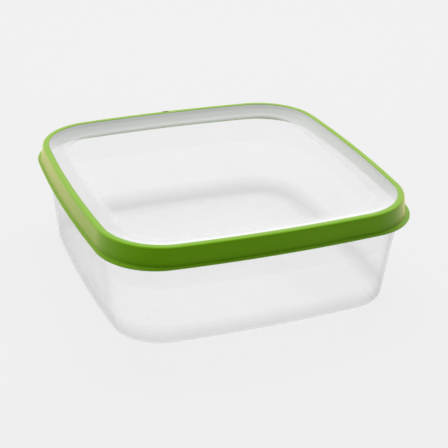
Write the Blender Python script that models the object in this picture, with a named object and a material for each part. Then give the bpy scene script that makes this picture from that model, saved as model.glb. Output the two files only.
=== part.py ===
"""Square snap-lid food container, as a Blender model.

Three moulded pieces: a clear tub, a clear dished lid panel, and a green snap rim that is moulded
round the panel's edge and clips over the tub. Every piece is a loft through rounded squares with
gently bowed sides. +Z is up, the base plane is z = 0, and the sizes below are in millimetres.
"""

import math

import bmesh
import bpy

MM = 0.001

# Rounded square that the rim's side face follows. Every other outline is worked out from it.
HALF_WIDTH = 107.5
CORNER_RADIUS = 43.0
SIDE_RADIUS = 900.0
SIDE_STEPS = 6
CORNER_STEPS = 11

HEIGHT = 73.9
GAP = 0.3

# Tub.
WALL = 1.3
FLOOR = 1.4
BASE_HALF_WIDTH = 97.45
STEP_HEIGHT = 42.5
STEP_HALF_WIDTH = 102.5
STEP_OUT = 0.3
STEP_SPREAD = 1.6
COLLAR_HALF_WIDTH = 104.9
FOOT_WIDTH = 5.6
FOOT_RISE = 0.6
RAISED_HALF_WIDTH = 66.0
BASE_FILLET = 5.0
INNER_FILLET = 6.0
FILLET_STEPS = 4
TUB_BEAD = 0.55
TUB_BEAD_RISE = 1.1

# Green snap rim.
RIM_WALL = 1.3
BAND_WIDTH = 4.7
SHOULDER_HALF_WIDTH = 107.2
TOP_FILLET = 1.5
SKIRT_DEPTH = 13.5
SKIRT_FOOT_HALF_WIDTH = 108.2
SKIRT_FOOT_HEIGHT = 2.8
LIP_HALF_WIDTH = 110.2
LIP_CORNER_TRIM = 5.9
LIP_EDGE = 1.0
INNER_TAPER = 0.2
RIM_BEAD = 0.55
RIM_BEAD_RISE = 1.0
RIM_BEAD_HEIGHT = 4.9

# Clear lid panel.
PANEL = 1.2
DISH_DEPTH = 4.1
DISH_HALF_WIDTH = 93.0
DISH_BLEND = 3.6
DISH_STEPS = 5
SLOPE_DROP = 0.3
FLANGE_COVER = 2.9

# Heights that follow from the sizes above.
BAND_UNDERSIDE = HEIGHT - RIM_WALL
FLANGE_TOP = BAND_UNDERSIDE - GAP
SEAT_HEIGHT = FLANGE_TOP - PANEL - GAP
LIP_HEIGHT = HEIGHT - SKIRT_DEPTH
SLOPE_TOP = HEIGHT - SLOPE_DROP


def outline(half_width, trim=0.0):
    """Points round one rounded square, anticlockwise. trim makes its corners that much tighter."""
    inset = HALF_WIDTH - half_width
    corner_radius = CORNER_RADIUS - inset - trim
    side_radius = SIDE_RADIUS - inset
    side_centre = half_width - side_radius
    reach = side_radius - corner_radius
    corner_centre = (side_centre + math.sqrt(2 * reach**2 - side_centre**2)) / 2
    half_angle = math.atan2(corner_centre, corner_centre - side_centre)
    quarter = []
    for i in range(SIDE_STEPS):
        angle = half_angle * (2 * i / SIDE_STEPS - 1)
        quarter.append((side_centre + side_radius * math.cos(angle), side_radius * math.sin(angle)))
    for i in range(CORNER_STEPS):
        angle = half_angle + (math.pi / 2 - 2 * half_angle) * i / CORNER_STEPS
        quarter.append((
            corner_centre + corner_radius * math.cos(angle),
            corner_centre + corner_radius * math.sin(angle),
        ))
    points = []
    for _ in range(4):
        points.extend(quarter)
        quarter = [(-y, x) for x, y in quarter]
    return points


def arc(centre, radius, start, end, steps):
    """Points (half width, height) along an arc of a section, from angle start to end in degrees."""
    points = []
    for i in range(steps + 1):
        angle = math.radians(start + (end - start) * i / steps)
        points.append((centre[0] + radius * math.cos(angle), centre[1] + radius * math.sin(angle)))
    return points


def base_fillet(wall_foot, draft, floor, radius):
    """Arc between a wall that leans out by draft from wall_foot at z = 0 and a level floor."""
    lean = math.atan(draft)
    centre = (
        wall_foot + ((floor + radius) * math.sin(lean) - radius) / math.cos(lean),
        floor + radius,
    )
    return arc(centre, radius, -math.degrees(lean), -90, FILLET_STEPS)


def loft(name, section, closed, floor=0.0):
    """Mesh through one outline for each (half width, height, trim) of a section.

    A closed section makes a ring. An open one is a cup or a plate, capped at both of its ends.
    Heights are measured from floor.
    """
    bm = bmesh.new()
    loops = []
    for half_width, height, *trim in section:
        points = outline(half_width, *trim)
        loops.append([bm.verts.new((x * MM, y * MM, (height - floor) * MM)) for x, y in points])
    pairs = list(zip(loops, loops[1:]))
    if closed:
        pairs.append((loops[-1], loops[0]))
    else:
        bm.faces.new(loops[0])
        bm.faces.new(loops[-1])
    for lower, upper in pairs:
        for i, vert in enumerate(lower):
            after = (i + 1) % len(lower)
            bm.faces.new((vert, lower[after], upper[after], upper[i]))
    bmesh.ops.recalc_face_normals(bm, faces=bm.faces)
    mesh = bpy.data.meshes.new(name)
    bm.to_mesh(mesh)
    bm.free()
    mesh.shade_smooth()
    mesh.set_sharp_from_angle(angle=math.radians(35))
    return mesh


def plastic(name, colour, roughness, alpha=1.0):
    """Moulded plastic with one colour, see-through where alpha is below 1."""
    material = bpy.data.materials.new(name)
    material.use_nodes = True
    shader = material.node_tree.nodes["Principled BSDF"]
    shader.inputs["Base Color"].default_value = (*colour, 1.0)
    shader.inputs["Roughness"].default_value = roughness
    shader.inputs["Metallic"].default_value = 0.0
    shader.inputs["Alpha"].default_value = alpha
    return material


def add_piece(name, mesh, material, parent=None):
    """Object with one mesh and one material, placed under parent if it has one."""
    piece = bpy.data.objects.new(name, mesh)
    mesh.materials.append(material)
    piece.parent = parent
    bpy.context.scene.collection.objects.link(piece)
    return piece


def tub_section():
    """Tub wall from the middle of the inner floor, over the top edge, to the underside.

    The floor rises gently from the contact ring to its level middle.
    """
    draft = (STEP_HALF_WIDTH - BASE_HALF_WIDTH) / STEP_HEIGHT
    slant_wall = WALL * math.hypot(1, draft)
    underside = base_fillet(BASE_HALF_WIDTH, draft, 0.0, BASE_FILLET)
    foot_inner = underside[-1][0] - FOOT_WIDTH
    underside += [(foot_inner, 0.0), (RAISED_HALF_WIDTH, FOOT_RISE)]
    inner = [(RAISED_HALF_WIDTH, FOOT_RISE + FLOOR), (foot_inner, FLOOR)]
    inner += reversed(base_fillet(BASE_HALF_WIDTH - slant_wall, draft, FLOOR, INNER_FILLET))
    inner += [
        (STEP_HALF_WIDTH - slant_wall, STEP_HEIGHT),
        (COLLAR_HALF_WIDTH - WALL, LIP_HEIGHT),
        (COLLAR_HALF_WIDTH - WALL, SEAT_HEIGHT - WALL / 2),
    ]
    crown = (COLLAR_HALF_WIDTH - WALL / 2, SEAT_HEIGHT - WALL / 2)
    top_edge = arc(crown, WALL / 2, 180, 0, 4)[1:]
    bead_height = SEAT_HEIGHT - WALL / 2 - 2 * TUB_BEAD_RISE
    outer = [
        (COLLAR_HALF_WIDTH, bead_height + TUB_BEAD_RISE),
        (COLLAR_HALF_WIDTH + TUB_BEAD, bead_height),
        (COLLAR_HALF_WIDTH, bead_height - TUB_BEAD_RISE),
        (COLLAR_HALF_WIDTH, LIP_HEIGHT),
        (STEP_HALF_WIDTH + STEP_OUT, STEP_HEIGHT + STEP_SPREAD),
        (STEP_HALF_WIDTH, STEP_HEIGHT),
    ]
    return inner + top_edge + outer + underside


def dish_foot(half_width, floor, slope):
    """Curve where the panel's level middle turns up into its border, which rises by slope."""
    points = []
    for i in range(DISH_STEPS + 1):
        along = i / DISH_STEPS
        offset = DISH_BLEND * (2 * along - 1)
        points.append((half_width + offset, floor + slope * DISH_BLEND * along**2))
    return points


def panel_section():
    """Panel from the middle of its top face, up its sloping border, round its hidden flange, to
    its underside."""
    edge = HALF_WIDTH - BAND_WIDTH
    slope_edge = edge - GAP
    floor_top = HEIGHT - DISH_DEPTH
    slope = (SLOPE_TOP - floor_top) / (slope_edge - DISH_HALF_WIDTH)
    flange = [
        (slope_edge, SLOPE_TOP),
        (slope_edge, FLANGE_TOP),
        (edge + FLANGE_COVER, FLANGE_TOP),
        (edge + FLANGE_COVER, FLANGE_TOP - PANEL),
        (slope_edge - PANEL / 4, FLANGE_TOP - PANEL),
    ]
    flange_rise = (FLANGE_TOP - floor_top) / (slope_edge - DISH_HALF_WIDTH)
    top = dish_foot(DISH_HALF_WIDTH, floor_top, slope)
    bottom = dish_foot(DISH_HALF_WIDTH - PANEL / 4, floor_top - PANEL, flange_rise)
    return top + flange + bottom[::-1]


def flare(start, control, end):
    """Hollow curve of the skirt's foot as it turns out to the lip, with tighter corners there."""
    points = []
    for i in range(5):
        t = i / 4
        half_width = start[0] * (1 - t) ** 2 + 2 * control[0] * t * (1 - t) + end[0] * t**2
        height = start[1] * (1 - t) ** 2 + 2 * control[1] * t * (1 - t) + end[1] * t**2
        points.append((half_width, height, LIP_CORNER_TRIM * t**2))
    return points


def rim_section():
    """Rim from the band's inner edge, over the top and down the skirt to the lip, and back inside."""
    top_centre = (SHOULDER_HALF_WIDTH - TOP_FILLET, HEIGHT - TOP_FILLET)
    inner_face = HALF_WIDTH - RIM_WALL
    bead_height = LIP_HEIGHT + RIM_BEAD_HEIGHT
    foot = (SKIRT_FOOT_HALF_WIDTH, LIP_HEIGHT + SKIRT_FOOT_HEIGHT)
    lip_top = (LIP_HALF_WIDTH, LIP_HEIGHT + LIP_EDGE)
    lean = (foot[0] - SHOULDER_HALF_WIDTH) / (top_centre[1] - foot[1])
    bend = (foot[0] + lean * (foot[1] - lip_top[1]), lip_top[1] + 0.6)
    band = [
        (HALF_WIDTH - BAND_WIDTH, BAND_UNDERSIDE),
        (HALF_WIDTH - BAND_WIDTH, HEIGHT - 0.3 * RIM_WALL),
        (HALF_WIDTH - BAND_WIDTH + 0.3 * RIM_WALL, HEIGHT),
    ]
    corner = arc(top_centre, TOP_FILLET, 90, 0, 4)
    inside = [
        (LIP_HALF_WIDTH, LIP_HEIGHT, LIP_CORNER_TRIM),
        (inner_face, LIP_HEIGHT),
        (inner_face, bead_height - RIM_BEAD_RISE),
        (inner_face - RIM_BEAD, bead_height),
        (inner_face, bead_height + RIM_BEAD_RISE),
        (inner_face - INNER_TAPER, BAND_UNDERSIDE),
    ]
    return band + corner + flare(foot, bend, lip_top) + inside


def build():
    for old in list(bpy.data.objects):
        bpy.data.objects.remove(old)
    clear = plastic("clear_polypropylene", (0.93, 0.94, 0.94), 0.18, alpha=0.3)
    green = plastic("green_polypropylene", (0.13, 0.33, 0.0), 0.35)
    add_piece("tub", loft("tub", tub_section(), closed=False), clear)
    lid_axis = bpy.data.objects.new("lid_axis", None)
    lid_axis.location = (0.0, 0.0, SEAT_HEIGHT * MM)
    bpy.context.scene.collection.objects.link(lid_axis)
    panel = loft("lid_panel", panel_section(), closed=False, floor=SEAT_HEIGHT)
    rim = loft("lid_rim", rim_section(), closed=True, floor=SEAT_HEIGHT)
    add_piece("lid_panel", panel, clear, lid_axis)
    add_piece("lid_rim", rim, green, lid_axis)
    bpy.context.view_layer.update()


build()
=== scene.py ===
"""Square snap-lid food container: the looks of its mouldings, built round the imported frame."""

import math

import bmesh
import bpy
from mathutils import Matrix, Vector


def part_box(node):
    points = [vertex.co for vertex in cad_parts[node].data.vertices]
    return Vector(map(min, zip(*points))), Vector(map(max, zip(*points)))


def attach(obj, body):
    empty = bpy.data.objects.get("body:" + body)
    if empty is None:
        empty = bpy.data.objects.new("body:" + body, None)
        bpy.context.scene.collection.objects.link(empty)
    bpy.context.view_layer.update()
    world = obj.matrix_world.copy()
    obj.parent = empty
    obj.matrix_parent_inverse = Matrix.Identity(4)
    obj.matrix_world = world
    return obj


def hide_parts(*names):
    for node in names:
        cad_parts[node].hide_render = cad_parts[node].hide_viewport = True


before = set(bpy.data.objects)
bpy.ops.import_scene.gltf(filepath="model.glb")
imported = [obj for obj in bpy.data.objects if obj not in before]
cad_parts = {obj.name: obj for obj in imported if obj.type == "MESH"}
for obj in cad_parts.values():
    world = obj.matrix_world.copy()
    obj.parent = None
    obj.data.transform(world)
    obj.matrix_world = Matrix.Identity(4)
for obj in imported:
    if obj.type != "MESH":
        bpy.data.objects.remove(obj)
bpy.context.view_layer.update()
MM = 0.001


# ---------------------------------------------------------------------------------------------
# Tub. One thin moulding in clear, faintly milky polypropylene. It is shot through a gate under
# the middle of the floor, so its walls lean out to leave the tool, and a small step marks the
# collar that the lid grips.
# ---------------------------------------------------------------------------------------------

TUB_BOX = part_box("tub")
RIM_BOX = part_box("lid_rim")
BASE_HEIGHT = TUB_BOX[0].z
TUB_TOP = TUB_BOX[1].z
LIP_HEIGHT = RIM_BOX[0].z
HALF_WIDTH = 107.5 * MM
CORNER_RADIUS = 43.0 * MM
SIDE_RADIUS = 900.0 * MM
SIDE_STEPS = 40
CORNER_STEPS = 36

WALL = 1.3 * MM
FLOOR = 1.4 * MM
FLOOR_DOME = 0.25 * MM
RAISED_HALF_WIDTH = 66.0 * MM
FOOT_INSET = 10.2 * MM
FOOT_RISE = 0.6 * MM
FOOT_BLEND = 2.5 * MM
BASE_HALF_WIDTH = 97.45 * MM
BASE_FILLET = 6.5 * MM
INNER_FILLET = 5.5 * MM
STEP_HEIGHT = 42.5 * MM
STEP_SPREAD = 1.6 * MM
STEP_HALF_WIDTH = 102.5 * MM
STEP_OUT = 0.3 * MM
STEP_BLEND = 0.8 * MM
COLLAR_HALF_WIDTH = 104.9 * MM
COLLAR_BLEND = 1.5 * MM
TOP_ROUND = 0.6 * MM
BEAD = 0.55 * MM
BEAD_SPREAD = 1.1 * MM
BEAD_DROP = 2.9 * MM
BEAD_BLEND = 0.3 * MM
BEAD_ROUND = 0.5 * MM

PLASTIC_TINT = (0.68, 0.685, 0.69, 1)
# The frost tint is also the colour of the painted shade near the tub's base.
FROST_AND_SHADE_TINT = (0.60, 0.60, 0.605, 1)

# Painted shade: towards the base the plastic is made cloudier and darker, standing in for the
# shade there, and it clears from the low height up to the top one. Frost runs from 0, clear, to 1.
PAINTED_SHADE_LOW = 6 * MM
PAINTED_SHADE_TOP = 16 * MM
BASE_PAINTED_SHADE = 0.3
OUTER_PAINTED_SHADE = 0.22
INNER_PAINTED_SHADE = 0.06
INNER_CORNER_PAINTED_SHADE = 0.05
COLLAR_FROST = 0.05
COLLAR_INSIDE_FROST = 0.02


def soften(corners, steps=6):
    """Section line with its corners rounded, as points of (half width, trim, height, frost).

    A corner is (half width, height, setback, trim, frost), where frost near the tub's base is
    painted shade. Its setback is how far from it the rounding starts, and its trim is how much
    sharper the outline's own corners are there.
    """
    points = []
    ends = [Vector((c[0], c[3], c[1], c[4])) for c in (corners[0], *corners, corners[-1])]
    for before, here, after, corner in zip(ends, ends[1:], ends[2:], corners):
        setback = corner[2]
        if setback == 0:
            points.append(here)
            continue
        back = before - here
        ahead = after - here
        start = here + back * min(setback / back.xyz.length, 0.5)
        end = here + ahead * min(setback / ahead.xyz.length, 0.5)
        for i in range(steps + 1):
            t = i / steps
            points.append(start * (1 - t) ** 2 + here * (2 * t * (1 - t)) + end * t**2)
    return points


def loft_tree():
    """Geometry Nodes that sweep a section line round a rounded square with bowed sides.

    Each section point holds (half width, corner trim, height). Its attributes shrink, which draws
    the outline in towards the middle of a floor, and frost, which the materials read and which
    holds painted shade near the tub's base, come along.
    """
    tree = bpy.data.node_groups.new("rounded_square_loft", "GeometryNodeTree")
    face = tree.interface
    face.new_socket("Section", in_out="INPUT", socket_type="NodeSocketGeometry")
    for name in ("Half Width", "Corner Radius", "Side Radius"):
        face.new_socket(name, in_out="INPUT", socket_type="NodeSocketFloat")
    for name in ("Side Steps", "Corner Steps"):
        face.new_socket(name, in_out="INPUT", socket_type="NodeSocketInt")
    face.new_socket("Material", in_out="INPUT", socket_type="NodeSocketMaterial")
    face.new_socket("Piece", in_out="OUTPUT", socket_type="NodeSocketGeometry")

    def add(kind, **settings):
        node = tree.nodes.new(kind)
        for key, value in settings.items():
            setattr(node, key, value)
        return node

    def calc(operation, *values):
        node = add("ShaderNodeMath", operation=operation)
        for socket, value in zip(node.inputs, values):
            if isinstance(value, (int, float)):
                socket.default_value = value
            else:
                tree.links.new(value, socket)
        return node.outputs[0]

    def pick(test, if_true, if_false):
        return calc("MULTIPLY_ADD", test, calc("SUBTRACT", if_true, if_false), if_false)

    given = add("NodeGroupInput").outputs
    around = calc("ADD", given["Side Steps"], given["Corner Steps"])
    loop = calc("ADD", calc("MULTIPLY", around, 4), 1)
    size = add("GeometryNodeAttributeDomainSize", component="MESH")
    tree.links.new(given["Section"], size.inputs["Geometry"])
    grid = add("GeometryNodeMeshGrid")
    tree.links.new(size.outputs["Point Count"], grid.inputs["Vertices X"])
    tree.links.new(loop, grid.inputs["Vertices Y"])
    index = add("GeometryNodeInputIndex").outputs[0]
    row = calc("FLOOR", calc("DIVIDE", calc("ADD", index, 0.5), loop))
    column = calc("SUBTRACT", index, calc("MULTIPLY", row, loop))

    def from_section(value, kind):
        sample = add("GeometryNodeSampleIndex", data_type=kind, domain="POINT")
        tree.links.new(given["Section"], sample.inputs["Geometry"])
        tree.links.new(value, sample.inputs["Value"])
        tree.links.new(row, sample.inputs["Index"])
        return sample.outputs["Value"]

    def stored(name):
        named = add("GeometryNodeInputNamedAttribute", data_type="FLOAT")
        named.inputs["Name"].default_value = name
        return from_section(named.outputs["Attribute"], "FLOAT")

    place = add("ShaderNodeSeparateXYZ")
    position = add("GeometryNodeInputPosition").outputs[0]
    tree.links.new(from_section(position, "FLOAT_VECTOR"), place.inputs[0])
    half_width, trim, height = place.outputs
    inset = calc("SUBTRACT", given["Half Width"], half_width)
    corner_radius = calc("SUBTRACT", calc("SUBTRACT", given["Corner Radius"], inset), trim)
    side_radius = calc("SUBTRACT", given["Side Radius"], inset)
    side_centre = calc("SUBTRACT", half_width, side_radius)
    reach = calc("SUBTRACT", side_radius, corner_radius)
    reach_squared = calc("MULTIPLY", calc("MULTIPLY", reach, reach), 2)
    centre_squared = calc("MULTIPLY", side_centre, side_centre)
    root = calc("SQRT", calc("SUBTRACT", reach_squared, centre_squared))
    corner_centre = calc("MULTIPLY", calc("ADD", side_centre, root), 0.5)
    half_angle = calc("ARCTAN2", corner_centre, calc("SUBTRACT", corner_centre, side_centre))
    quarter = calc("FLOOR", calc("DIVIDE", calc("ADD", column, 0.5), around))
    step = calc("SUBTRACT", column, calc("MULTIPLY", quarter, around))
    on_side = calc("LESS_THAN", step, calc("SUBTRACT", given["Side Steps"], 0.5))
    side_share = calc("DIVIDE", calc("MULTIPLY", step, 2), given["Side Steps"])
    side_angle = calc("MULTIPLY", half_angle, calc("SUBTRACT", side_share, 1))
    past_side = calc("SUBTRACT", step, given["Side Steps"])
    corner_share = calc("DIVIDE", past_side, given["Corner Steps"])
    corner_sweep = calc("SUBTRACT", math.pi / 2, calc("MULTIPLY", half_angle, 2))
    corner_angle = calc("MULTIPLY_ADD", corner_sweep, corner_share, half_angle)
    angle = pick(on_side, side_angle, corner_angle)
    radius = pick(on_side, side_radius, corner_radius)
    centre_x = pick(on_side, side_centre, corner_centre)
    centre_y = pick(on_side, 0.0, corner_centre)
    x = calc("MULTIPLY_ADD", radius, calc("COSINE", angle), centre_x)
    y = calc("MULTIPLY_ADD", radius, calc("SINE", angle), centre_y)
    turn = calc("MULTIPLY", quarter, math.pi / 2)
    cosine = calc("COSINE", turn)
    sine = calc("SINE", turn)
    shrink = stored("shrink")
    turned_x = calc("SUBTRACT", calc("MULTIPLY", x, cosine), calc("MULTIPLY", y, sine))
    turned_y = calc("ADD", calc("MULTIPLY", x, sine), calc("MULTIPLY", y, cosine))
    point = add("ShaderNodeCombineXYZ")
    tree.links.new(calc("MULTIPLY", turned_x, shrink), point.inputs["X"])
    tree.links.new(calc("MULTIPLY", turned_y, shrink), point.inputs["Y"])
    tree.links.new(height, point.inputs["Z"])

    keep = add("GeometryNodeStoreNamedAttribute", data_type="FLOAT", domain="POINT")
    keep.inputs["Name"].default_value = "frost_and_shade"
    tree.links.new(grid.outputs["Mesh"], keep.inputs["Geometry"])
    tree.links.new(stored("frost_and_shade"), keep.inputs["Value"])
    move = add("GeometryNodeSetPosition")
    tree.links.new(keep.outputs["Geometry"], move.inputs["Geometry"])
    tree.links.new(point.outputs[0], move.inputs["Position"])
    merge = add("GeometryNodeMergeByDistance")
    merge.inputs["Distance"].default_value = 0.001 * MM
    smooth = add("GeometryNodeSetShadeSmooth")
    real = add("GeometryNodeRealizeInstances")
    paint = add("GeometryNodeSetMaterial")
    tree.links.new(given["Material"], paint.inputs["Material"])
    line = move
    for node in (merge, smooth, real, paint):
        tree.links.new(line.outputs["Geometry"], node.inputs["Geometry"])
        line = node
    result = add("NodeGroupOutput")
    tree.links.new(line.outputs["Geometry"], result.inputs["Piece"])
    return tree


LOFT = loft_tree()


def sweep(name, section, material, shrink=None):
    """Piece lofted through its section points, as a plain mesh with its faces pointing out."""
    line = bpy.data.meshes.new(name)
    line.from_pydata([p[:3] for p in section], [(i, i + 1) for i in range(len(section) - 1)], [])
    frost_and_shade = [p[3] for p in section]
    for key, values in (("frost_and_shade", frost_and_shade), ("shrink", shrink or [1.0] * len(section))):
        attribute = line.attributes.new(key, "FLOAT", "POINT")
        attribute.data.foreach_set("value", values)
    piece = bpy.data.objects.new(name, line)
    bpy.context.scene.collection.objects.link(piece)
    modifier = piece.modifiers.new("loft", "NODES")
    modifier.node_group = LOFT
    inputs = {
        "Half Width": HALF_WIDTH,
        "Corner Radius": CORNER_RADIUS,
        "Side Radius": SIDE_RADIUS,
        "Side Steps": SIDE_STEPS,
        "Corner Steps": CORNER_STEPS,
        "Material": material,
    }
    for socket in LOFT.interface.items_tree:
        if socket.name in inputs:
            modifier[socket.identifier] = inputs[socket.name]
    bpy.context.view_layer.update()
    evaluated = piece.evaluated_get(bpy.context.evaluated_depsgraph_get())
    mesh = bpy.data.meshes.new_from_object(evaluated)
    piece.modifiers.remove(modifier)
    mesh.name = name
    piece.data = mesh
    bm = bmesh.new()
    bm.from_mesh(mesh)
    bmesh.ops.recalc_face_normals(bm, faces=bm.faces)
    bm.to_mesh(mesh)
    bm.free()
    return piece


def new_material(name):
    """Empty material, its nodes and a function that links two sockets."""
    material = bpy.data.materials.new(name)
    material.use_nodes = True
    tree = material.node_tree
    tree.nodes.clear()
    return material, tree.nodes, tree.links.new


def mould_texture_group():
    """Fine satin grain left by the mould, with the slow unevenness of the plastic's flow."""
    tree = bpy.data.node_groups.new("mould_texture", "ShaderNodeTree")
    face = tree.interface
    for name in ("Grain Size", "Depth"):
        face.new_socket(name, in_out="INPUT", socket_type="NodeSocketFloat")
    face.new_socket("Flow", in_out="OUTPUT", socket_type="NodeSocketFloat")
    face.new_socket("Grain", in_out="OUTPUT", socket_type="NodeSocketFloat")
    face.new_socket("Normal", in_out="OUTPUT", socket_type="NodeSocketVector")
    nodes = tree.nodes
    link = tree.links.new
    given = nodes.new("NodeGroupInput").outputs
    result = nodes.new("NodeGroupOutput").inputs
    place = nodes.new("ShaderNodeTexCoord").outputs["Object"]
    fineness = nodes.new("ShaderNodeMath")
    fineness.operation = "DIVIDE"
    fineness.inputs[0].default_value = 1.0
    link(given["Grain Size"], fineness.inputs[1])
    grain = nodes.new("ShaderNodeTexNoise")
    grain.inputs["Detail"].default_value = 3.0
    link(place, grain.inputs["Vector"])
    link(fineness.outputs[0], grain.inputs["Scale"])
    flow = nodes.new("ShaderNodeTexNoise")
    flow.inputs["Scale"].default_value = 22.0
    flow.inputs["Detail"].default_value = 2.0
    flow.inputs["Distortion"].default_value = 0.8
    link(place, flow.inputs["Vector"])
    bump = nodes.new("ShaderNodeBump")
    bump.inputs["Strength"].default_value = 0.5
    link(given["Depth"], bump.inputs["Distance"])
    link(grain.outputs["Fac"], bump.inputs["Height"])
    link(flow.outputs["Fac"], result["Flow"])
    link(grain.outputs["Fac"], result["Grain"])
    link(bump.outputs["Normal"], result["Normal"])
    return tree


def handling_marks_group():
    """Mask of the short hairline scratches that a box picks up in a cupboard and a sink."""
    tree = bpy.data.node_groups.new("handling_marks", "ShaderNodeTree")
    face = tree.interface
    face.new_socket("Coverage", in_out="INPUT", socket_type="NodeSocketFloat")
    face.new_socket("Marks", in_out="OUTPUT", socket_type="NodeSocketFloat")
    nodes = tree.nodes
    link = tree.links.new
    given = nodes.new("NodeGroupInput").outputs
    result = nodes.new("NodeGroupOutput").inputs
    place = nodes.new("ShaderNodeTexCoord").outputs["Object"]
    layers = []
    for turn, stretch in ((0.6, (260, 14, 60)), (-0.9, (18, 300, 60))):
        direction = nodes.new("ShaderNodeMapping")
        direction.inputs["Rotation"].default_value = (0, 0, turn)
        direction.inputs["Scale"].default_value = stretch
        link(place, direction.inputs["Vector"])
        streak = nodes.new("ShaderNodeTexNoise")
        streak.inputs["Scale"].default_value = 1.0
        streak.inputs["Detail"].default_value = 1.0
        link(direction.outputs[0], streak.inputs["Vector"])
        line = nodes.new("ShaderNodeMath")
        line.operation = "COMPARE"
        line.inputs[1].default_value = 0.5
        link(streak.outputs["Fac"], line.inputs[0])
        link(given["Coverage"], line.inputs[2])
        layers.append(line.outputs[0])
    either = nodes.new("ShaderNodeMath")
    either.operation = "MAXIMUM"
    link(layers[0], either.inputs[0])
    link(layers[1], either.inputs[1])
    patches = nodes.new("ShaderNodeTexNoise")
    patches.inputs["Scale"].default_value = 45.0
    link(place, patches.inputs["Vector"])
    broken = nodes.new("ShaderNodeMapRange")
    broken.inputs["From Min"].default_value = 0.52
    broken.inputs["From Max"].default_value = 0.62
    link(patches.outputs["Fac"], broken.inputs["Value"])
    marks = nodes.new("ShaderNodeMath")
    marks.operation = "MULTIPLY"
    link(either.outputs[0], marks.inputs[0])
    link(broken.outputs[0], marks.inputs[1])
    link(marks.outputs[0], result["Marks"])
    return tree


MOULD_TEXTURE = mould_texture_group()
HANDLING_MARKS = handling_marks_group()


def surface_detail(nodes, grain_size, depth, coverage):
    """Outputs of the two shared groups: flow, grain, normal and marks."""
    texture = nodes.new("ShaderNodeGroup")
    texture.node_tree = MOULD_TEXTURE
    texture.inputs["Grain Size"].default_value = grain_size
    texture.inputs["Depth"].default_value = depth
    scratches = nodes.new("ShaderNodeGroup")
    scratches.node_tree = HANDLING_MARKS
    scratches.inputs["Coverage"].default_value = coverage
    return (*texture.outputs, scratches.outputs[0])


def weigh(nodes, link, base, *parts):
    """Base value plus each socket times its factor, kept between 0 and 1."""
    total = base
    for socket, factor in parts:
        step = nodes.new("ShaderNodeMath")
        step.operation = "MULTIPLY_ADD"
        step.use_clamp = True
        link(socket, step.inputs[0])
        step.inputs[1].default_value = factor
        if isinstance(total, float):
            step.inputs[2].default_value = total
        else:
            link(total, step.inputs[2])
        total = step.outputs[0]
    return total


def clear_plastic(name, tint, haze, cloud_and_shade, gloss):
    """Clear moulded polypropylene: hazy all over, cloudier where it is frosted or seen edge-on,
    and cloudier and darker where painted shade is set near the tub's base.
    """
    material, nodes, link = new_material(name)
    shader = nodes.new("ShaderNodeBsdfPrincipled")
    shader.inputs["Specular IOR Level"].default_value = 0.4
    flow, grain, normal, marks = surface_detail(nodes, 1.5 * MM, 0.02 * MM, 0.0035)
    frost_and_shade = nodes.new("ShaderNodeAttribute")
    frost_and_shade.attribute_name = "frost_and_shade"
    frost_and_shade_mask = frost_and_shade.outputs["Fac"]
    # Frosted parts and the painted shade near the tub's base turn towards the darker frost tint.
    colour = nodes.new("ShaderNodeMix")
    colour.data_type = "RGBA"
    colour.inputs["A"].default_value = tint
    colour.inputs["B"].default_value = FROST_AND_SHADE_TINT
    link(frost_and_shade_mask, colour.inputs["Factor"])
    link(colour.outputs["Result"], shader.inputs["Base Color"])
    if gloss:
        link(weigh(nodes, link, gloss, (frost_and_shade_mask, -4 * gloss)), shader.inputs["Metallic"])
    rough = weigh(nodes, link, 0.08, (frost_and_shade_mask, 0.42), (grain, 0.1), (marks, 0.25))
    link(rough, shader.inputs["Roughness"])
    link(normal, shader.inputs["Normal"])
    edge = nodes.new("ShaderNodeLayerWeight")
    edge.inputs["Blend"].default_value = 0.5
    falloff = nodes.new("ShaderNodeMath")
    falloff.operation = "POWER"
    falloff.inputs[1].default_value = 6.0
    link(edge.outputs["Facing"], falloff.inputs[0])
    edge_on = (falloff.outputs[0], 1.0)
    wear = ((flow, 0.03), (marks, 0.04))
    alpha = weigh(nodes, link, haze - 0.015, *wear, (frost_and_shade_mask, cloud_and_shade), edge_on)
    link(alpha, shader.inputs["Alpha"])
    out = nodes.new("ShaderNodeOutputMaterial")
    link(shader.outputs[0], out.inputs["Surface"])
    return material


floor_top = BASE_HEIGHT + FOOT_RISE + FLOOR
draft = (STEP_HALF_WIDTH - BASE_HALF_WIDTH) / STEP_HEIGHT
slant_wall = WALL * math.hypot(1, draft)
step_top = STEP_HEIGHT + STEP_SPREAD
inner_foot = BASE_HALF_WIDTH - slant_wall + draft * floor_top
foot_edge = BASE_HALF_WIDTH - FOOT_INSET
collar_inside = COLLAR_HALF_WIDTH - WALL
bead_height = TUB_TOP - BEAD_DROP


def outer_wall(height):
    return BASE_HALF_WIDTH + draft * height


def inner_wall(height):
    return outer_wall(height) - slant_wall


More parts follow.
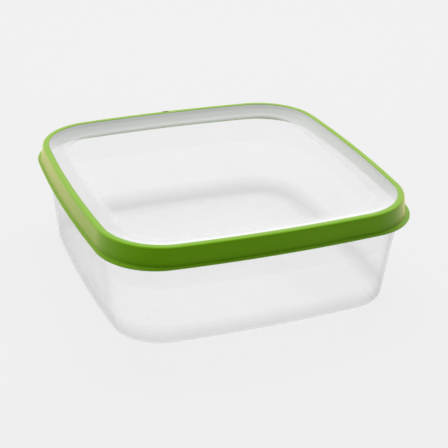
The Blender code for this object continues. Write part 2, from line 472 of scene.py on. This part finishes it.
WALL_RINGS = [h * MM for h in (20, 24, 28, 32, 36, 39)]
# The last figure of each corner is its frost. Near the base it is painted shade, darker towards
# the bottom.
tub_corners = [
    (RAISED_HALF_WIDTH, floor_top, 0, 0, 0),
    (foot_edge, floor_top - FOOT_RISE, FOOT_BLEND, 0, 0),
    (inner_foot, floor_top - FOOT_RISE, INNER_FILLET, 0, INNER_CORNER_PAINTED_SHADE),
    (inner_wall(PAINTED_SHADE_LOW), PAINTED_SHADE_LOW, 0, 0, INNER_PAINTED_SHADE),
    (inner_wall(PAINTED_SHADE_TOP), PAINTED_SHADE_TOP, 0, 0, 0),
    *[(inner_wall(h), h, 0, 0, 0) for h in WALL_RINGS],
    (inner_wall(STEP_HEIGHT), STEP_HEIGHT, STEP_BLEND, 0, 0),
    (collar_inside, LIP_HEIGHT, COLLAR_BLEND, 0, COLLAR_INSIDE_FROST),
    (collar_inside, TUB_TOP, TOP_ROUND, 0, COLLAR_INSIDE_FROST),
    (COLLAR_HALF_WIDTH, TUB_TOP, TOP_ROUND, 0, COLLAR_FROST),
    (COLLAR_HALF_WIDTH, bead_height + BEAD_SPREAD, BEAD_BLEND, 0, COLLAR_FROST),
    (COLLAR_HALF_WIDTH + BEAD, bead_height, BEAD_ROUND, 0, COLLAR_FROST),
    (COLLAR_HALF_WIDTH, bead_height - BEAD_SPREAD, BEAD_BLEND, 0, COLLAR_FROST),
    (COLLAR_HALF_WIDTH, LIP_HEIGHT, COLLAR_BLEND, 0, COLLAR_FROST),
    (STEP_HALF_WIDTH + STEP_OUT, step_top, STEP_BLEND, 0, COLLAR_FROST),
    (STEP_HALF_WIDTH, STEP_HEIGHT, STEP_BLEND, 0, 0),
    *[(outer_wall(h), h, 0, 0, 0) for h in reversed(WALL_RINGS)],
    (outer_wall(PAINTED_SHADE_TOP), PAINTED_SHADE_TOP, 0, 0, 0),
    (outer_wall(PAINTED_SHADE_LOW), PAINTED_SHADE_LOW, 0, 0, OUTER_PAINTED_SHADE),
    (BASE_HALF_WIDTH, BASE_HEIGHT, BASE_FILLET, 0, BASE_PAINTED_SHADE),
    (foot_edge, BASE_HEIGHT, FOOT_BLEND, 0, 0),
    (RAISED_HALF_WIDTH, BASE_HEIGHT + FOOT_RISE, 0, 0, 0),
]
wall_line = soften(tub_corners)

# The floor closes in rings towards the middle, where it is domed a little.
FLOOR_RINGS = 10
inward = [i / FLOOR_RINGS for i in range(FLOOR_RINGS)]
outward = list(reversed(inward))


def domed(edge, share):
    return (edge[0], 0, edge[2] + FLOOR_DOME * (1 - share * share), 0)


inner_floor = [domed(wall_line[0], share) for share in inward]
under_floor = [domed(wall_line[-1], share) for share in outward]
tub_section = inner_floor + [tuple(p) for p in wall_line] + under_floor
tub_shrink = inward + [1.0] * len(wall_line) + outward
tub_plastic = clear_plastic("clear_tub", PLASTIC_TINT, haze=0.025, cloud_and_shade=1.0, gloss=0.4)
tub = sweep("tub_moulding", tub_section, tub_plastic, tub_shrink)
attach(tub, "container")
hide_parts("tub")

# The trimmed gate under the middle of the floor.
NUB_RADIUS = 1.7 * MM
NUB_TIP_RADIUS = 1.3 * MM
NUB_DEPTH = 0.4 * MM
NUB_SINK = 0.05 * MM
nub_top = BASE_HEIGHT + FOOT_RISE + FLOOR_DOME + NUB_SINK
nub_mesh = bpy.data.meshes.new("tub_gate")
bm = bmesh.new()
bmesh.ops.create_cone(
    bm,
    cap_ends=True,
    segments=24,
    radius1=NUB_TIP_RADIUS,
    radius2=NUB_RADIUS,
    depth=NUB_DEPTH,
    matrix=Matrix.Translation((0, 0, nub_top - NUB_DEPTH / 2)),
)
bm.to_mesh(nub_mesh)
bm.free()
nub_plastic = clear_plastic("clear_gate", PLASTIC_TINT, haze=0.35, cloud_and_shade=0.0, gloss=0.4)
nub_mesh.materials.append(nub_plastic)
nub = bpy.data.objects.new("tub_gate", nub_mesh)
bpy.context.scene.collection.objects.link(nub)
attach(nub, "container")


# ---------------------------------------------------------------------------------------------
# Lid panel. A clear moulding, level in the middle and dished below the rim so that another box
# can stand on it. Its sloping edge is frosted in the tool, and its flange is held in the rim.
# ---------------------------------------------------------------------------------------------

PANEL_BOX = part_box("lid_panel")
RIM_TOP = RIM_BOX[1].z
PANEL = 1.2 * MM
BAND_WIDTH = 4.7 * MM
FLANGE_DROP = 1.6 * MM
FLANGE_COVER = 2.9 * MM
FLANGE_ROUND = 0.2 * MM
SLOPE_DROP = 0.2 * MM
SLOPE_GAP = 0.08 * MM
DISH_WIDTH = 13.4 * MM
DISH_BLEND = 3.6 * MM
FROST_FULL = 10.3 * MM
FROST_NONE = 18.3 * MM
LEVEL_RINGS = 6
WINDOW_TINT = (0.615, 0.615, 0.62, 1)

panel_floor = PANEL_BOX[0].z + PANEL
band_edge = HALF_WIDTH - BAND_WIDTH
flange_top = RIM_TOP - FLANGE_DROP
slope_edge = band_edge - SLOPE_GAP
dish_foot = band_edge - DISH_WIDTH + DISH_BLEND
flange_edge = band_edge + FLANGE_COVER
frost_start = band_edge - FROST_FULL
frost_end = band_edge - FROST_NONE


def frost_at(half_width):
    """1 on the slope, falling smoothly to 0 on the level middle."""
    share = min(1.0, max(0.0, (half_width - frost_end) / (frost_start - frost_end)))
    return share * share * (3 - 2 * share)


level_width = dish_foot - DISH_BLEND - frost_end
level = [frost_end + level_width * i / LEVEL_RINGS for i in range(LEVEL_RINGS)]
panel_corners = [
    *[(x, panel_floor, 0, 0, 0) for x in level],
    (dish_foot, panel_floor, DISH_BLEND, 0, 0),
    (slope_edge, RIM_TOP - SLOPE_DROP, FLANGE_ROUND, 0, 0),
    (slope_edge, flange_top, 0, 0, 0),
    (flange_edge, flange_top, FLANGE_ROUND, 0, 0),
    (flange_edge, flange_top - PANEL, FLANGE_ROUND, 0, 0),
    (slope_edge - PANEL / 4, flange_top - PANEL, 0.3 * MM, 0, 0),
    (dish_foot - PANEL / 4, panel_floor - PANEL, DISH_BLEND, 0, 0),
    *[(x, panel_floor - PANEL, 0, 0, 0) for x in reversed(level)],
]
panel_line = [(p[0], 0, p[2], frost_at(p[0])) for p in soften(panel_corners, 12)]
panel_section = [panel_line[0]] * FLOOR_RINGS + panel_line + [panel_line[-1]] * FLOOR_RINGS
panel_shrink = inward + [1.0] * len(panel_line) + outward
window_plastic = clear_plastic("clear_window", WINDOW_TINT, haze=0.018, cloud_and_shade=0.52, gloss=0.0)
panel = sweep("lid_window", panel_section, window_plastic, panel_shrink)
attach(panel, "lid")
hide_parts("lid_panel")


# ---------------------------------------------------------------------------------------------
# Snap rim. Green polypropylene, softer than the panel and moulded round its flange. The skirt
# clips over the tub's bead, and the lip at its foot gives the fingers a hold at every corner.
# ---------------------------------------------------------------------------------------------

RIM_WALL = 1.3 * MM
BAND_ROUND = 0.35 * MM
SHOULDER_HALF_WIDTH = 107.2 * MM
SHOULDER_ROUND = 1.6 * MM
SKIRT_FOOT = 108.4 * MM
SKIRT_BLEND = 1.0 * MM
LIP_HALF_WIDTH = RIM_BOX[1].x
LIP_TRIM = 5.9 * MM
LIP_EDGE = 1.0 * MM
LIP_RISE = 0.2 * MM
INNER_TAPER = 0.2 * MM
RIM_BEAD_RISE = 4.9 * MM
RIM_BEAD_SPREAD = 1.0 * MM
FLANGE_LAP = 0.05 * MM
GREEN = (0.118, 0.325, 0.0008)


def green_plastic(name, tint):
    """Satin polypropylene, coloured right through, a shade paler where it flowed unevenly."""
    material, nodes, link = new_material(name)
    flow, grain, normal, marks = surface_detail(nodes, 0.7 * MM, 0.03 * MM, 0.004)
    shader = nodes.new("ShaderNodeBsdfPrincipled")
    colour = nodes.new("ShaderNodeMix")
    colour.data_type = "RGBA"
    colour.inputs["A"].default_value = (*tint, 1)
    colour.inputs["B"].default_value = (1.25 * tint[0], 1.12 * tint[1], 2.0 * tint[2], 1)
    link(weigh(nodes, link, -0.3, (flow, 1.2), (marks, 0.4)), colour.inputs["Factor"])
    link(colour.outputs["Result"], shader.inputs["Base Color"])
    link(weigh(nodes, link, 0.28, (grain, 0.14), (marks, 0.15)), shader.inputs["Roughness"])
    link(normal, shader.inputs["Normal"])
    shader.inputs["Specular Tint"].default_value = (0.3, 0.7, 0.02, 1)
    shader.inputs["Specular IOR Level"].default_value = 0.4
    shader.inputs["Sheen Weight"].default_value = 1.0
    shader.inputs["Sheen Roughness"].default_value = 0.45
    shader.inputs["Sheen Tint"].default_value = (0.98, 0.83, 0.36, 1)
    out = nodes.new("ShaderNodeOutputMaterial")
    link(shader.outputs[0], out.inputs["Surface"])
    return material


inner_face = HALF_WIDTH - RIM_WALL
lip_top = LIP_HEIGHT + LIP_EDGE
rim_bead = LIP_HEIGHT + RIM_BEAD_RISE
rim_corners = [
    (band_edge, flange_top + FLANGE_LAP, 0, 0, 0),
    (band_edge, RIM_TOP, BAND_ROUND, 0, 0),
    (SHOULDER_HALF_WIDTH, RIM_TOP, SHOULDER_ROUND, 0, 0),
    (SKIRT_FOOT, lip_top + LIP_RISE, SKIRT_BLEND, 0.15 * LIP_TRIM, 0),
    (LIP_HALF_WIDTH, lip_top, 0.35 * MM, LIP_TRIM, 0),
    (LIP_HALF_WIDTH, LIP_HEIGHT, 0.25 * MM, LIP_TRIM, 0),
    (inner_face, LIP_HEIGHT, BEAD_BLEND, 0, 0),
    (inner_face, rim_bead - RIM_BEAD_SPREAD, BEAD_BLEND, 0, 0),
    (inner_face - BEAD, rim_bead, BEAD_ROUND, 0, 0),
    (inner_face, rim_bead + RIM_BEAD_SPREAD, BEAD_BLEND, 0, 0),
    (inner_face - INNER_TAPER, RIM_TOP - RIM_WALL, 0.2 * MM, 0, 0),
    (band_edge + 0.6 * MM, RIM_TOP - RIM_WALL, 0, 0, 0),
    (band_edge, flange_top + FLANGE_LAP, 0, 0, 0),
]
rim_section = [tuple(p) for p in soften(rim_corners)]
rim = sweep("snap_rim", rim_section, green_plastic("green_rim", GREEN))
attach(rim, "lid")
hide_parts("lid_rim")

# The cut-off gate, a short bar at the back of the band. Its near-black green is painted shade,
# standing in for the shadow at the gate.
GATE_LENGTH = 4.2 * MM
GATE_WIDTH = 1.3 * MM
GATE_THICKNESS = 0.5 * MM
GATE_ROUND = 0.12 * MM
GATE_ASIDE = -0.3 * MM
GATE_INSET = 1.6 * MM
GATE_SINK = 0.05 * MM
GATE_SHADE_GREEN = (0.02, 0.04, 0.001)
gate_mesh = bpy.data.meshes.new("rim_gate")
bm = bmesh.new()
gate_size = Matrix.Diagonal((GATE_LENGTH, GATE_WIDTH, GATE_THICKNESS, 1))
gate_spot = (GATE_ASIDE, SHOULDER_HALF_WIDTH - GATE_INSET, RIM_TOP - GATE_SINK)
bmesh.ops.create_cube(bm, size=1, matrix=Matrix.Translation(gate_spot) @ gate_size)
bmesh.ops.bevel(bm, geom=bm.edges[:], offset=GATE_ROUND, segments=2, affect="EDGES")
bm.to_mesh(gate_mesh)
bm.free()
gate_mesh.materials.append(green_plastic("gate_shade_green", GATE_SHADE_GREEN))
gate = bpy.data.objects.new("rim_gate", gate_mesh)
bpy.context.scene.collection.objects.link(gate)
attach(gate, "lid")


# ---------------------------------------------------------------------------------------------
# Studio. A pale sweep of floor, a bright white surround that is darker towards the front, and
# one broad soft light overhead.
# ---------------------------------------------------------------------------------------------

FLOOR_SIZE = 12.0
FLOOR_GAP = 0.2 * MM
FLOOR_GLOW = 0.80
bpy.ops.mesh.primitive_plane_add(size=FLOOR_SIZE, location=(0, 0, BASE_HEIGHT - FLOOR_GAP))
ground = bpy.context.object
ground.name = "studio_floor"
floor_material, nodes, link = new_material("pale_floor")
matte = nodes.new("ShaderNodeBsdfPrincipled")
matte.inputs["Base Color"].default_value = (0.05, 0.05, 0.05, 1)
matte.inputs["Roughness"].default_value = 0.9
matte.inputs["Specular IOR Level"].default_value = 0.0
matte.inputs["Emission Color"].default_value = (1, 1, 1, 1)
matte.inputs["Emission Strength"].default_value = FLOOR_GLOW
surface = nodes.new("ShaderNodeOutputMaterial")
link(matte.outputs[0], surface.inputs["Surface"])
ground.data.materials.append(floor_material)

SURROUND_DARK = 0.03
SURROUND_BRIGHT = 1.15
BRIGHTEST_WAY = Vector((-0.10, 0.75, 0.65)).normalized()
world = bpy.data.worlds.new("white_surround")
bpy.context.scene.world = world
world.use_nodes = True
nodes = world.node_tree.nodes
link = world.node_tree.links.new
background = nodes["Background"]
background.inputs["Color"].default_value = (1, 1, 1, 1)
direction = nodes.new("ShaderNodeTexCoord")
towards = nodes.new("ShaderNodeVectorMath")
towards.operation = "DOT_PRODUCT"
towards.inputs[1].default_value = BRIGHTEST_WAY
brightness = nodes.new("ShaderNodeMapRange")
brightness.interpolation_type = "SMOOTHSTEP"
brightness.inputs["From Min"].default_value = -0.25
brightness.inputs["From Max"].default_value = 0.75
brightness.inputs["To Min"].default_value = SURROUND_DARK
brightness.inputs["To Max"].default_value = SURROUND_BRIGHT
link(direction.outputs["Generated"], towards.inputs[0])
link(towards.outputs["Value"], brightness.inputs["Value"])
link(brightness.outputs[0], background.inputs["Strength"])

KEY_POWER = 20.0
KEY_DISTANCE = 1.5
KEY_ELEVATION = math.radians(68)
KEY_ASIDE = 0.15
softbox = bpy.data.lights.new("softbox", "AREA")
softbox.shape = "RECTANGLE"
softbox.size = 1.4
softbox.size_y = 0.8
softbox.energy = KEY_POWER
stand = bpy.data.objects.new("softbox", softbox)
key_way = Vector((KEY_ASIDE, math.cos(KEY_ELEVATION), math.sin(KEY_ELEVATION)))
stand.location = key_way * KEY_DISTANCE
stand.rotation_euler = stand.location.to_track_quat("Z", "Y").to_euler()
stand.visible_glossy = False
stand.visible_transmission = False
bpy.context.scene.collection.objects.link(stand)

# The camera stands in front and a little to the left, and looks down at the lid. Its angles are
# in radians, and the last three turn it about its own axes.
CAMERA_AZIMUTH = -0.3887
CAMERA_ELEVATION = 0.4161
CAMERA_DISTANCE = 7.3951 * HALF_WIDTH
CAMERA_AIM_HEIGHT = 73 * MM
CAMERA_ROLL = -0.0288
CAMERA_YAW = 0.0075
CAMERA_PITCH = 0.0497
LENS = 93.0833
SENSOR = 36.0
flat = math.cos(CAMERA_ELEVATION)
back = Vector(
    (
        math.sin(CAMERA_AZIMUTH) * flat,
        -math.cos(CAMERA_AZIMUTH) * flat,
        math.sin(CAMERA_ELEVATION),
    )
)
right = Vector((math.cos(CAMERA_AZIMUTH), math.sin(CAMERA_AZIMUTH), 0))
up = back.cross(right)
roll = Matrix.Rotation(CAMERA_ROLL, 3, "Z")
yaw = Matrix.Rotation(CAMERA_YAW, 3, "Y")
pitch = Matrix.Rotation(CAMERA_PITCH, 3, "X")
turned = roll @ yaw @ pitch @ Matrix((right, up, back))
lens = bpy.data.cameras.new("camera")
lens.sensor_width = SENSOR
lens.lens = LENS
camera = bpy.data.objects.new("camera", lens)
camera.location = back * CAMERA_DISTANCE + Vector((0, 0, CAMERA_AIM_HEIGHT))
camera.rotation_euler = turned.transposed().to_euler()
bpy.context.scene.collection.objects.link(camera)
bpy.context.scene.camera = camera
bpy.context.scene.view_settings.view_transform = "Standard"
